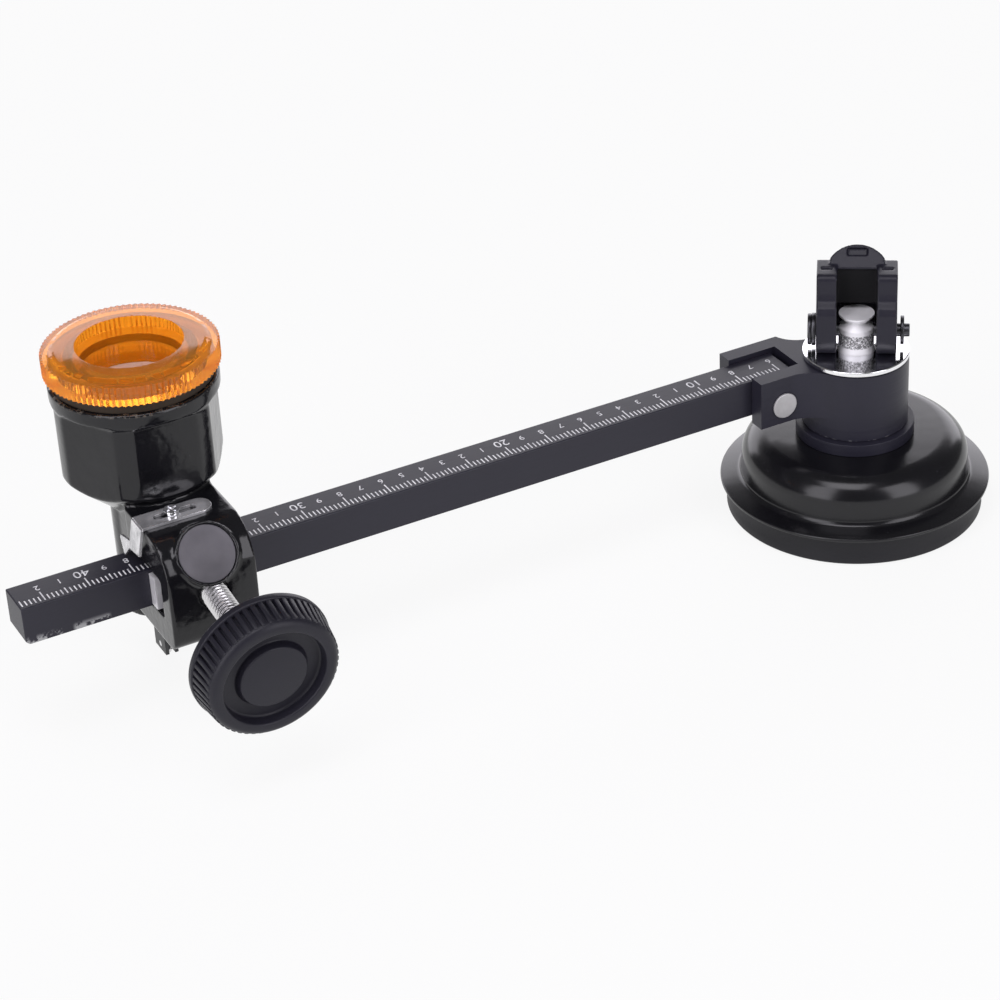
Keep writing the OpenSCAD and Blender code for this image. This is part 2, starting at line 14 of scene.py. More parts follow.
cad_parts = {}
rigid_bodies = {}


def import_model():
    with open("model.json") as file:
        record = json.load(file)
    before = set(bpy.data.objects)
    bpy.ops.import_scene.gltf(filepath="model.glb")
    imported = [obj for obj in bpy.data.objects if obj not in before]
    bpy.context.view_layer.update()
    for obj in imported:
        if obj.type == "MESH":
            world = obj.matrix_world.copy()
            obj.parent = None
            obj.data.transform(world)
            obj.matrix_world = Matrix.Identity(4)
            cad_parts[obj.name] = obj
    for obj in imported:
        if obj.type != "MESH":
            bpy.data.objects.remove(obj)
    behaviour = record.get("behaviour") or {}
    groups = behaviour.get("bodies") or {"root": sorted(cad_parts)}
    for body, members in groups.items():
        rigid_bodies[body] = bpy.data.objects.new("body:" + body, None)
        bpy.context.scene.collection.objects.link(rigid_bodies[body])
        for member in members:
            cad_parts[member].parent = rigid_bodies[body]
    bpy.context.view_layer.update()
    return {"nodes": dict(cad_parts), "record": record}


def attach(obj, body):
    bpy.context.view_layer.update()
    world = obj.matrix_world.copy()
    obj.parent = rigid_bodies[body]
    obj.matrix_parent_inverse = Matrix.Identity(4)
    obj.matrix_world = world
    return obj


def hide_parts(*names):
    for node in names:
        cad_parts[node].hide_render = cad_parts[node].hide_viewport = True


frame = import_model()
mm = 0.001

# %% [markdown]
# The camera
# A product photo has a viewpoint of its own. This one was found by fitting the bar, the sleeve and
# the carriage to the picture, so the camera is placed by numbers and not by eye. Three directions
# (right, up and back) make the camera's turn, and the lens is long, which keeps the tool from looking
# stretched.

# %% Place the camera
turn, fall, roll = math.radians(26.56), math.radians(31.16), math.radians(-3.15)
stand = Vector((-346.3, -505.0, 371.4)) * mm
ahead = Vector((math.sin(turn) * math.cos(fall), math.cos(turn) * math.cos(fall), -math.sin(fall)))
level = Vector((math.cos(turn), -math.sin(turn), 0))
over = level.cross(ahead)
right = math.cos(roll) * level + math.sin(roll) * over
up = math.cos(roll) * over - math.sin(roll) * level
camera = bpy.data.objects.new("camera", bpy.data.cameras.new("camera"))
bpy.context.collection.objects.link(camera)
camera.data.sensor_width = 36
camera.data.lens = 107.71
camera.matrix_world = Matrix.Translation(stand) @ Matrix((right, up, -ahead)).transposed().to_4x4()
bpy.context.scene.camera = camera
bpy.context.scene.view_settings.view_transform = "Standard"
print("camera at", camera.location)

# %% [markdown]
# Shader sums
# A finish is a small network of shader nodes. Wiring it by hand in code is long, so a value from a
# socket is wrapped in a class that understands plus, minus and times: writing 1 - mask then adds the
# Math node by itself. Every other node comes from one method, which sets the node's settings first
# and then its sockets.

# %% A class for shader values
class Level:
    """A value of a shader socket that can be used in a sum."""

    def __init__(self, finish, socket):
        self.finish, self.socket = finish, socket

    def sum(self, kind, first, second):
        return self.finish.add("ShaderNodeMath", {"operation": kind}, {0: first, 1: second})

    def __add__(self, other):
        return self.sum("ADD", self, other)

    def __sub__(self, other):
        return self.sum("SUBTRACT", self, other)

    def __rsub__(self, other):
        return self.sum("SUBTRACT", other, self)

    def __mul__(self, other):
        return self.sum("MULTIPLY", self, other)

    def larger(self, other):
        return self.sum("MAXIMUM", self, other)

    def rise(self, low, high):
        """0 below low, 1 above high, smooth between them."""
        return self.finish.add("ShaderNodeMapRange", {"interpolation_type": "SMOOTHSTEP"},
                               {"Value": self, "From Min": low, "From Max": high})

    __radd__, __rmul__ = __add__, __mul__

print("shader values can be used in sums")

# %% A class for node trees and one for finishes
class Wiring:
    """A node tree whose sockets can be used in sums."""

    def __init__(self, tree):
        self.tree = tree

    def add(self, kind, settings=None, sockets=None, out=0):
        node = self.tree.nodes.new(kind)
        for name, value in (settings or {}).items():
            setattr(node, name, value)
        for key, value in (sockets or {}).items():
            self.feed(value, node.inputs[key])
        return Level(self, node.outputs[out])

    def feed(self, value, socket):
        if isinstance(value, Level):
            self.tree.links.new(value.socket, socket)
        else:
            socket.default_value = value

    def seen_by(self, *kinds):
        """1 for rays of these kinds and 0 for the others."""
        seen = self.add("ShaderNodeLightPath", out=f"Is {kinds[0]} Ray")
        for kind in kinds[1:]:
            seen = seen.larger(self.add("ShaderNodeLightPath", out=f"Is {kind} Ray"))
        return seen


class Finish(Wiring):
    """A material with one main shader."""

    def __init__(self, name, **fixed):
        self.material = bpy.data.materials.new(name)
        self.material.use_nodes = True
        super().__init__(self.material.node_tree)
        self.shader = self.tree.nodes["Principled BSDF"]
        for socket, value in fixed.items():
            self.shader.inputs[socket.replace("_", " ")].default_value = value

    def place(self, stretch=(1, 1, 1), turned=(0, 0, 0)):
        """Object coordinates, turned and stretched."""
        spot = self.add("ShaderNodeTexCoord", out="Object")
        return self.add("ShaderNodeMapping", {"vector_type": "POINT"},
                        {"Vector": spot, "Scale": stretch, "Rotation": turned})

    def along(self, axis, yaw=0.0):
        """One of the Object coordinates, in metres, turned round Z by this yaw."""
        spot = self.place(turned=(0, 0, yaw))
        return self.add("ShaderNodeSeparateXYZ", None, {"Vector": spot}, out=axis)

    def noise(self, size, detail=2.0, rough=0.5, stretch=(1, 1, 1)):
        """A cloudy value from 0 to 1, whose blots are about this size in metres."""
        return self.add("ShaderNodeTexNoise", None, {"Vector": self.place(stretch), "Scale": 1 / size,
                                                     "Detail": detail, "Roughness": rough})

    def band(self, axis, low, high, soft, yaw=0.0):
        """1 between two places along an axis, in metres, with soft ends."""
        way = self.along(axis, yaw)
        return way.rise(low - soft, low) * (1 - way.rise(high, high + soft))

    def tint(self, mask, first, second):
        """One colour where the mask is 0 and the other where it is 1."""
        colour_a, colour_b, colour_out = 6, 7, 2
        a, b = (c if isinstance(c, Level) else (*c, 1) for c in (first, second))
        return self.add("ShaderNodeMix", {"data_type": "RGBA"}, {0: mask, colour_a: a, colour_b: b},
                        out=colour_out)

    def paint(self, colour, roughness, metallic=None):
        """Feeds the main shader."""
        self.feed(colour, self.shader.inputs["Base Color"])
        self.feed(roughness, self.shader.inputs["Roughness"])
        if metallic is not None:
            self.feed(metallic, self.shader.inputs["Metallic"])

    def relief(self, height, depth, strength):
        """A bump of this depth in metres."""
        bump = self.add("ShaderNodeBump", None, {"Height": height, "Distance": depth, "Strength": strength})
        self.feed(bump, self.shader.inputs["Normal"])

print("finishes can be mixed")

# %% [markdown]
# The floor and the light
# A catalogue picture stands on white paper. Black gloss shows little of its own colour, so what makes it
# readable is what it mirrors. A pale wall behind the tool brightens faces that look up, two tall strips
# in front give the dome its paired highlights, and the room above stays dark. The paper is a disc that
# ends before the lamps, so that no unlit floor shows behind them. It is white where the camera or a
# mirror looks at it, and still takes a soft shadow.

# %% Lay the paper
paper_r, paper_at, paper_glow = 0.8, (-0.09, 0, -0.0002), 0.88

def deselect():
    """Leaves edit mode and selects nothing."""
    if bpy.context.object and bpy.context.object.mode != "OBJECT":
        bpy.ops.object.mode_set(mode="OBJECT")
    bpy.ops.object.select_all(action="DESELECT")

def just_added(name):
    """Names the piece that was just added."""
    piece = bpy.context.object
    piece.name = piece.data.name = name
    return piece

deselect()
bpy.ops.mesh.primitive_circle_add(vertices=128, radius=paper_r, fill_type="NGON", location=paper_at)
paper = just_added("paper")

white = Finish("white_paper")
white.paint(white.tint(white.noise(0.05), (0.88, 0.88, 0.88), (0.90, 0.90, 0.90)), 0.9)
seen = white.seen_by("Camera", "Glossy", "Transmission")
glow = white.add("ShaderNodeEmission", None, {"Color": (1, 1, 1, 1), "Strength": 1.0})
lit = Level(white, white.shader.outputs[0])
both = white.add("ShaderNodeMixShader", None, {0: seen * paper_glow, 1: lit, 2: glow})
white.feed(both, white.tree.nodes["Material Output"].inputs["Surface"])
paper.data.materials.append(white.material)
print("paper of", 2 * paper_r, "m")

# %% Hang the lamps
lamp_white, dark_room = (0.96, 0.94, 1.0), 0.14

def aimed(place, way, front, top):
    """A placing that points the front axis of a thing this way."""
    return Matrix.Translation(place) @ way.to_track_quat(front, top).to_matrix().to_4x4()

def lamp(name, place, aim, width, height, glow):
    """A flat lamp. Its power is worked out from how bright its face is."""
    light = bpy.data.lights.new(name, "AREA")
    light.shape, light.size, light.size_y = "RECTANGLE", width, height
    light.energy, light.color = glow * math.pi * width * height, lamp_white
    holder = bpy.data.objects.new(name, light)
    bpy.context.collection.objects.link(holder)
    way = (Vector(aim) - Vector(place)).normalized()
    holder.matrix_world = aimed(Vector(place), way, "-Z", "Y")
    holder.visible_camera = False

lamp("pale_wall", (0.42, 1.01, 0.345), (-0.09, 0.0, 0.345), 2.2, 0.69, 2.6)
lamp("strip_left", (-0.84, -0.33, 0.5), (0.0, 0.0, 0.4), 0.45, 1.0, 3.2)
lamp("strip_right", (0.23, -0.82, 0.5), (0.0, 0.0, 0.4), 0.45, 1.0, 3.2)
lamp("lamp_over", (-0.35, -0.30, 1.0), (-0.09, 0.0, 0.03), 0.6, 0.5, 4)

world = bpy.data.worlds.new("studio")
bpy.context.scene.world = world
world.use_nodes = True
room = Wiring(world.node_tree)
backdrop = world.node_tree.nodes["Background"]
backdrop.inputs["Color"].default_value = (1, 1, 1, 1)
bright = room.seen_by("Camera", "Transmission") * (1 - dark_room) + dark_room
room.feed(bright, backdrop.inputs["Strength"])
print("lamps:", len(bpy.data.lights))

# %% [markdown]
# The finishes
# Each material of the tool gets its own recipe: stove paint that dried in shallow waves, moulded plastic
# with a fine skin, drawn and plated steel, black anodised aluminium with a few chips at its end, and
# clear amber plastic. They could be painted as pictures, but noise nodes stay crisp from any distance and
# need no unwrapping. The patterns are laid in the object's own coordinates, in metres, so that a grain
# of half a millimetre stays half a millimetre, and wear is kept to the bands where the tool has it.

# %% Stove paint
def stove_paint(name, wave, depth, dull, rim=None):
    """Black paint that dried in waves of this size. Dull is its least roughness, and the rim is a band
    of heights where it is chipped."""
    f = Finish(name, Specular_IOR_Level=0.42)
    pools = f.noise(0.008, 3)
    specks = f.noise(0.0007, 1).rise(0.74, 0.80)
    colour = f.tint(pools, (0.0045, 0.0044, 0.0056), (0.0085, 0.0083, 0.0105))
    colour = f.tint(specks * 0.12, colour, (0.10, 0.10, 0.11))
    rough = pools * 0.06 + dull
    if rim:
        chips = f.band(2, *rim, 0.0003) * f.noise(0.0020, 4, 0.7).rise(0.50, 0.62)
        colour = f.tint(chips * 0.6, colour, (0.13, 0.11, 0.09))
        rough = rough + chips * 0.3
    f.paint(colour, rough)
    f.relief(f.noise(wave, 2) + f.noise(wave * 0.25, 1) * 0.15, depth, 0.5)
    return f.material

dome_paint = stove_paint("gloss_black", wave=0.012, depth=0.00008, dull=0.17)
cast_paint = stove_paint("gloss_black_cast", wave=0.005, depth=0.00022, dull=0.12, rim=(0.0702, 0.0707))
print("paints:", dome_paint.name, cast_paint.name)

# %% A recipe for moulded plastics and rubber
def moulded(name, dark, pale, dull, grain, lines=0.0, worn=None, painted_shade_box=None):
    """Plastic with a fine skin, whose grain has this size in metres. Lines are the marks of a turning
    tool, worn is a scuffed band of heights, and the last argument is a box (its yaw, then low and high
    along each axis) that is darkened and roughened as painted shade, where a recess lies in shadow."""
    f = Finish(name, Specular_IOR_Level=0.3)
    clouds, skin = f.noise(0.010, 3), f.noise(grain, 2)
    colour = f.tint(clouds, dark, pale)
    rough = clouds * 0.06 + skin * 0.08 + dull
    if worn:
        scuffs = f.band(2, *worn, 0.0001) * f.noise(0.0009, 4, 0.7).rise(0.52, 0.62)
        colour = f.tint(scuffs * 0.5, colour, (0.20, 0.20, 0.21))
    # Painted shade: inside the box the colour goes nearly black and the surface rougher, standing in for the
    # shadow in a recess.
    if painted_shade_box:
        yaw, across, deep, high = painted_shade_box
        painted_shade = f.band(0, *across, 0.0002, yaw) * f.band(1, *deep, 0.0003, yaw) * f.band(2, *high, 0.0003)
        colour = f.tint(painted_shade * 0.9, colour, (0.0015, 0.0015, 0.0020))
        rough = rough + painted_shade * 0.35
    f.paint(colour, rough)
    height = skin
    if lines:
        height = skin * 0.4 + f.noise(0.0008, 2, stretch=(0.05, 0.05, 1)) * lines
    f.relief(height, 0.00004, 0.45)
    return f.material

print("plastics can be mixed")

# %% Moulded plastics and rubber
bracket_plastic = moulded("bracket_plastic", (0.016, 0.0152, 0.0245), (0.022, 0.021, 0.0335), 0.33, 0.0004,
                          lines=2.4, worn=(0.02235, 0.0226))
lever_yaw = math.radians(34.4)
# The lever's box is the recess between its cheeks, darkened as painted shade.
lever_plastic = moulded("lever_plastic", (0.013, 0.0122, 0.020), (0.018, 0.017, 0.0275), 0.32, 0.0004,
                        painted_shade_box=(lever_yaw, (-0.0046, 0.0046), (-0.0060, 0.0021), (0.0440, 0.0598)))
knob_plastic = moulded("knob_plastic", (0.011, 0.0105, 0.0165), (0.016, 0.0152, 0.0235), 0.36, 0.0004)
rubber = moulded("rubber", (0.009, 0.0088, 0.011), (0.014, 0.0137, 0.017), 0.44, 0.0005)
plug_enamel = moulded("gloss_black_plug", (0.030, 0.028, 0.033), (0.200, 0.190, 0.214), 0.36, 0.0006)
seal_rubber = moulded("seal_rubber", (0.020, 0.012, 0.006), (0.035, 0.022, 0.012), 0.5, 0.0004)
felt = moulded("felt", (0.55, 0.48, 0.36), (0.72, 0.65, 0.52), 0.85, 0.0003)
print("finishes so far:", len(bpy.data.materials))

# %% Metals
def metal(name, dark, pale, dull, stretch=(1, 1, 1), speckled=None, cloud=0.005, bare=1.0):
    """Drawn or plated metal. Speckled is a band of heights where the plating is pitted, cloud is the size
    of its stains, and bare is how little bloom lies on it."""
    f = Finish(name, Metallic=bare)
    streaks = f.noise(0.0005, 3, 0.6, stretch)
    stains = f.noise(cloud, 3).rise(0.3, 0.7)
    colour = f.tint(stains * 0.6 + streaks * 0.4, dark, pale)
    rough = streaks * 0.08 + stains * 0.06 + dull
    if speckled:
        pits = f.band(2, *speckled, 0.0004) * f.noise(0.0004, 2, 0.7).rise(0.36, 0.56)
        colour = f.tint(pits * 0.85, colour, (0.06, 0.06, 0.065))
        rough = rough + pits * 0.2
    f.paint(colour, rough)
    f.relief(streaks, 0.00001, 0.3)
    return f.material

upright, lengthwise = (1, 1, 0.1), (0.3, 1, 1)
chrome = metal("chrome", (0.80, 0.80, 0.82), (0.93, 0.93, 0.95), 0.02, upright)
stem_chrome = metal("chrome_stem", (0.86, 0.85, 0.87), (0.94, 0.93, 0.95), 0.40, upright,
                    speckled=(0.0422, 0.0450), bare=0.15)
satin_steel = metal("steel_satin", (0.48, 0.47, 0.48), (0.66, 0.65, 0.66), 0.34, bare=0.7)
pale_steel = metal("steel_pale", (0.62, 0.61, 0.63), (0.90, 0.89, 0.91), 0.34, lengthwise, bare=0.35)
steel = metal("steel", (0.60, 0.59, 0.60), (0.78, 0.77, 0.78), 0.20, lengthwise)
pointer_chrome = metal("chrome_pointer", (0.30, 0.30, 0.31), (0.96, 0.95, 0.97), 0.14, (1, 1, 0.2),
                       cloud=0.0045, bare=0.75)
dark_steel = metal("dark_steel", (0.05, 0.05, 0.055), (0.11, 0.11, 0.12), 0.30)
holder_steel = metal("steel_holder", (0.03, 0.03, 0.032), (0.07, 0.07, 0.072), 0.34)
print("finishes so far:", len(bpy.data.materials))

# %% Anodised bar
def anodised():
    """Black drawn aluminium, rubbed bare low on its front, at the end and in a patch by the block."""
    f = Finish("black_anodised", Specular_IOR_Level=0.35)
    grain = f.noise(0.0005, 2, 0.6, (0.08, 1, 1))
    haze = f.noise(0.020, 2)
    x, y, z = f.along(0), f.along(1), f.along(2)
    near = (1 - y.rise(0.0034, 0.0038)) * (1 - z.rise(0.0296, 0.0312))
    tip = x.rise(-0.2040, -0.2035) * (1 - x.rise(-0.1965, -0.1950))
    patch = x.rise(-0.1935, -0.1925) * (1 - x.rise(-0.1855, -0.1845))
    bare = near * (tip + patch) * f.noise(0.0022, 4, 0.7).rise(0.46, 0.56)
    black = f.tint(haze * 0.5 + grain * 0.5, (0.014, 0.0132, 0.0215), (0.021, 0.0200, 0.0315))
    f.paint(f.tint(bare * 0.8, black, (0.45, 0.45, 0.46)), grain * 0.10 + 0.34, bare * 0.7)
    f.relief(grain - bare * 0.6, 0.00003, 0.4)
    return f.material

black_anodised = anodised()
print("bar:", black_anodised.name)

# %% Amber plastic and white print
def clear_amber():
    """Clear plastic with a slow swirl of colour."""
    f = Finish("amber", Transmission_Weight=0.76, IOR=1.47, Specular_IOR_Level=0.2)
    swirl = f.noise(0.010, 2)
    f.paint(f.tint(swirl, (1.0, 0.37, 0.018), (1.0, 0.42, 0.034)), swirl * 0.03 + 0.02)
    return f.material

def white_print():
    """Thin white ink that has worn unevenly."""
    f = Finish("white_print", Specular_IOR_Level=0.3)
    worn = f.noise(0.0012, 3).rise(0.30, 0.60)
    f.paint(f.tint(worn, (0.55, 0.55, 0.58), (0.86, 0.86, 0.88)), f.noise(0.001) * 0.2 + 0.45)
    f.relief(f.noise(0.0003), 0.00001, 0.3)
    return f.material

amber = clear_amber()
print_white = white_print()
print("finishes:", len(bpy.data.materials))

# %% [markdown]
# Eased copies of the solids
# A CAD solid has razor edges, and no real casting or moulding has. A bevelled edge catches a thin line
# of light, and that line is most of what tells the eye that a thing is made of metal or plastic. Each
# solid is copied, the copy's loose triangles are merged, flat areas are dissolved into single faces so
# that the bevel has clean edges to follow, and a Bevel and a Weighted Normal modifier are applied. The
# copy then stands for the solid.

# %% Helpers that finish a piece
home = {node: body for body, nodes in frame["record"]["behaviour"]["bodies"].items() for node in nodes}
paint_of = {"gloss_black": dome_paint, "bracket_plastic": bracket_plastic, "lever_plastic": lever_plastic,
            "chrome": chrome, "steel": steel, "dark_steel": dark_steel, "black_anodised": black_anodised,
            "knob_plastic": knob_plastic, "amber": amber, "seal_rubber": seal_rubber, "felt": felt,
            "rubber": rubber}

def alone(piece):
    """Selects one piece and nothing else."""
    deselect()
    piece.select_set(True)
    bpy.context.view_layer.objects.active = piece

def settle(piece, body, slot, finish=None):
    """Gives a piece its finish and its body."""
    piece.data.materials.clear()
    piece.data.materials.append(finish or paint_of[slot])
    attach(piece, body)

def stand_for(piece, node, slot, finish=None):
    """Lets a piece take a solid's place on the solid's own body."""
    settle(piece, home[node], slot, finish)
    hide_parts(node)
    print(piece.name, len(piece.data.polygons), "faces")

def modifier(piece, kind, **settings):
    """Adds a modifier and applies it."""
    made = piece.modifiers.new(kind.lower(), kind)
    for name, value in settings.items():
        setattr(made, name, value)
    alone(piece)
    bpy.ops.object.modifier_apply(modifier=made.name)

print("bodies:", len(set(home.values())), "for", len(home), "solids")

# %% A helper that eases a solid's edges
merge_gap = 0.000002
flat, sharp, ease_crease = math.radians(0.4), math.radians(32), math.radians(36)

def weld():
    """Merges corners that lie in one place. The mesh is open in edit mode."""
    bpy.ops.mesh.select_all(action="SELECT")
    bpy.ops.mesh.remove_doubles(threshold=merge_gap)

def copied(node, name):
    """A copy of a solid, with its loose triangles merged, that stays open in edit mode."""
    piece = bpy.data.objects.new(name, frame["nodes"][node].data.copy())
    bpy.context.collection.objects.link(piece)
    alone(piece)
    bpy.ops.mesh.customdata_custom_splitnormals_clear()
    bpy.ops.object.mode_set(mode="EDIT")
    weld()
    return piece

def ease(node, name, width, slot, steps=2, finish=None):
    """A copy of a solid with its edges eased by this width in millimetres."""
    piece = copied(node, name)
    bpy.ops.mesh.dissolve_limited(angle_limit=flat)
    bpy.ops.object.mode_set(mode="OBJECT")
    modifier(piece, "BEVEL", width=width * mm, segments=steps, limit_method="ANGLE", angle_limit=sharp,
             use_clamp_overlap=True)
    bpy.ops.object.shade_smooth_by_angle(angle=ease_crease)
    modifier(piece, "WEIGHTED_NORMAL", keep_sharp=True)
    stand_for(piece, node, slot, finish)

print("edges over", round(math.degrees(sharp)), "degrees can be eased")

# %% Ease the solids
ease("thrust_ring", "thrust_collar", 0.25, "bracket_plastic")
ease("top_washer", "bright_washer", 0.25, "chrome", steps=3)
ease("anchor_plate", "lifting_disc", 0.2, "steel")
ease("pull_stem", "stem", 0.25, "chrome", finish=stem_chrome)
ease("lever_pin", "cross_pin", 0.2, "steel", finish=dark_steel)
ease("pin_washer", "dark_washer", 0.1, "dark_steel")
ease("pin_clip", "clip", 0.1, "dark_steel")
ease("arm_bracket", "clevis_sleeve", 0.3, "bracket_plastic", steps=3)
ease("hinge_pin", "clevis_pin", 0.25, "steel", finish=satin_steel)
ease("ruler_bar", "bar", 0.35, "black_anodised", steps=3)
ease("side_plug", "plug", 0.25, "gloss_black", finish=plug_enamel)
ease("gib_plate", "gib", 0.2, "steel", finish=pale_steel)
ease("pointer_plate", "pointer", 0.08, "chrome", finish=pointer_chrome)
ease("pointer_screw", "pointer_fixing", 0.12, "chrome")
ease("oil_cap", "cap", 0.07, "amber")
ease("cap_seal", "seal", 0.2, "seal_rubber")
ease("oil_wick", "wick", 0.3, "felt")
ease("wheel_holder", "wheel_shank", 0.1, "steel", finish=holder_steel)
ease("holder_screw", "grub", 0.1, "dark_steel")
ease("wheel_axle", "axle", 0.1, "steel")
ease("cutter_wheel", "cutting_wheel", 0.05, "steel")

# %% [markdown]
# The casting and the lever
# The carriage is one rough casting under thick paint, and the lever is a soft moulding: every corner is
# round, inside and out. A bevel follows edges one by one and stumbles where many small ones meet. A
# voxel Remesh turns the copy into an even skin, and a Smooth modifier then melts all corners alike.

# %% Melt the corners of two solids
def melt(node, name, voxel, rounds, slot, finish=None):
    """A copy of a solid with an even skin of this voxel size, in millimetres, and soft corners."""
    piece = copied(node, name)
    bpy.ops.object.mode_set(mode="OBJECT")
    modifier(piece, "REMESH", mode="VOXEL", voxel_size=voxel * mm)
    modifier(piece, "SMOOTH", factor=0.5, iterations=rounds)
    bpy.ops.object.shade_smooth()
    stand_for(piece, node, slot, finish)

melt("carriage_body", "carriage_casting", 0.42, 4, "gloss_black", cast_paint)
melt("cam_lever", "lever", 0.26, 2, "lever_plastic")

# %% [markdown]
# The rubber disc
# The disc under the dome is soft rubber, moulded in one piece: a rounded outer lip, a shallow waist and
# two sealing grooves below. It is a turned shape, so it is drawn as a profile, point by point, by
# extruding a single vertex, and then spun round the axis.

# %% A helper that turns a profile
crease = math.radians(40)

def outlined(name, outline, closed):
    """Draws (radius, height) points in millimetres by extruding one vertex, and stays in edit mode."""
    deselect()
    bpy.ops.mesh.primitive_plane_add(size=mm)
    piece = just_added(name)
    bpy.ops.object.mode_set(mode="EDIT")
    bpy.ops.mesh.select_all(action="SELECT")
    bpy.ops.mesh.merge(type="CENTER")
    points = [Vector((r * mm, 0, z * mm)) for r, z in outline]
    bpy.ops.transform.translate(value=points[0])
    for a, b in zip(points, points[1:] + points[:1] if closed else points[1:]):
        bpy.ops.mesh.extrude_vertices_move(TRANSFORM_OT_translate={"value": b - a})
    return piece

def turned(name, profile, steps, closed=True):
    """Spins a profile of (radius, height) points in millimetres round Z."""
    piece = outlined(name, profile, closed)
    bpy.ops.mesh.select_all(action="SELECT")
    bpy.ops.mesh.spin(steps=steps, angle=2 * math.pi, center=(0, 0, 0), axis=(0, 0, 1))
    weld()
    bpy.ops.mesh.normals_make_consistent(inside=False)
    bpy.ops.object.mode_set(mode="OBJECT")
    bpy.ops.object.shade_smooth_by_angle(angle=crease)
    return piece

def arc(centre, radius, start, end, count=5):
    """Points of a rounding in the profile's plane, in degrees."""
    angles = [math.radians(start + (end - start) * i / count) for i in range(count + 1)]
    return [(centre[0] + radius * math.cos(a), centre[1] + radius * math.sin(a)) for a in angles]

print("profiles can be turned, with a crease over", round(math.degrees(crease)), "degrees")

# %% Turn the rubber disc
pad_r, pad_h = 30.0, 6.8
groove_foot, groove_head, groove_deep = 0.6, 0.45, 0.5
lip_round, top_round, waist = 0.7, 0.5, 0.45
profile = [(0, 0)]
for r in (pad_r - 7.5, pad_r - 4):
    profile += [(r - groove_foot, 0), (r - groove_head, groove_deep)]
    profile += [(r + groove_head, groove_deep), (r + groove_foot, 0)]
profile += arc((pad_r - lip_round, lip_round), lip_round, -90, 0)
profile += [(pad_r - 0.25, 2.2), (pad_r - waist, 3.4), (pad_r - waist, 5.2)]
profile += arc((pad_r - 0.9, pad_h - top_round), top_round, 0, 90) + [(0, pad_h)]
disc = turned("rubber_disc", profile, 160, closed=False)
stand_for(disc, "suction_pad", "rubber")

# %% [markdown]
# The domed housing
# The housing is pressed and painted: a thin flange, a fillet up to the wall, a wide rounded shoulder and
# the neck that the arm turns on. The solid has the main shape, and a new turned profile gives it the
# fillet and the wide shoulder that carries the long highlights.

# %% Turn the housing
dome_r, dome_top, flange_r, flange_top = 26.6, 19.1, 31.5, 8.1
neck_r, neck_top, bore, wall = 9.0, 39.2, 4.16, 2.4
rim_round, fillet, shoulder, hollow, chamfer = 0.3, 1.4, 6.0, 4, 0.2
profile = arc((flange_r - rim_round, pad_h + rim_round), rim_round, -90, 0, 4)
profile += arc((flange_r - rim_round, flange_top - 0.7), rim_round, 0, 80, 4)
profile += arc((dome_r + fillet, flange_top + 1.6), fillet, 260, 180, 8)
profile += arc((dome_r - 0.15 - shoulder, dome_top - shoulder), shoulder, 0, 90, 18)
profile += [(neck_r, dome_top), (neck_r, neck_top - chamfer), (neck_r - chamfer, neck_top)]
profile += [(bore + chamfer, neck_top), (bore, neck_top - chamfer), (bore, dome_top - wall)]
profile += arc((dome_r - wall - hollow, dome_top - wall - hollow), hollow, 90, 0, 10)
profile += [(dome_r - wall, pad_h)]
housing = turned("housing", profile, 192)
stand_for(housing, "base_housing", "gloss_black")

# %% [markdown]
# The clamp screw
# The clamp screw has a metric thread, and its crests glint along the bare length. The outline of the
# thread's ridge is extruded from a vertex, a Screw modifier winds it up the shank, and its two ends are
# filled, so that it is a closed solid. The core with the smooth dog point is a turned shape.

# %% Wind the thread
crest, root, pitch, turns, facets, thread_from = 2.88, 2.35, 1.0, 32, 32, 0.6
foot = root - 0.25
ridge = [(foot, 0.08), (root + 0.02, 0.12), (crest - 0.06, 0.44), (crest, 0.5), (crest - 0.06, 0.56),
         (root + 0.02, 0.88), (foot, 0.92)]
thread = outlined("clamp_thread", [(r, thread_from + z) for r, z in ridge], closed=True)
bpy.ops.object.mode_set(mode="OBJECT")
modifier(thread, "SCREW", axis="Z", angle=2 * math.pi, screw_offset=pitch * mm, iterations=turns,
         steps=facets, render_steps=facets, use_merge_vertices=False, use_smooth_shade=True)
bpy.ops.object.mode_set(mode="EDIT")
weld()
bpy.ops.mesh.fill_holes(sides=0)
bpy.ops.mesh.normals_make_consistent(inside=False)
bpy.ops.object.mode_set(mode="OBJECT")
print("thread:", turns, "turns")

# %% Give the thread its core and lay it on the clamp's axis
tilt = math.radians(8)
clamp_axis = Vector((0, -math.cos(tilt), -math.sin(tilt)))
on_clamp = aimed(Vector((-165.2, 0.1, 35.375)) * mm, clamp_axis, "Z", "X")

def joined(name, pieces):
    """Joins pieces into the first of them."""
    alone(pieces[0])
    for piece in pieces[1:]:
        piece.select_set(True)
    bpy.ops.object.join()
    return just_added(name)

def lay(piece, where):
    """Moves a piece into place and applies the move to its mesh."""
    piece.matrix_world = where
    alone(piece)
    bpy.ops.object.transform_apply(location=True, rotation=True, scale=True)

dog_r, dog_tip, shank_end = 1.5, -1, 33.5
core = turned("clamp_core", [(0, dog_tip), (dog_r - 0.2, dog_tip), (dog_r, dog_tip + 0.2),
                             (dog_r, thread_from), (foot, thread_from), (root, 0.95), (root, shank_end),
                             (0, shank_end)], 48, closed=False)
screw = joined("threaded_screw", [core, thread])
bpy.ops.object.shade_smooth_by_angle(angle=crease)
lay(screw, on_clamp)
stand_for(screw, "clamp_screw", "steel")

# %% [markdown]
# The grip knob
# The knob is moulded: a smooth back ring, a ring of fine ribs that die away at the rounded front edge, a
# well and a flat boss inside it. The body is a turned profile. One rib is made from a cube whose front
# outer edge is pulled in, its edges are bevelled, and a Spin that duplicates sets the others round it.

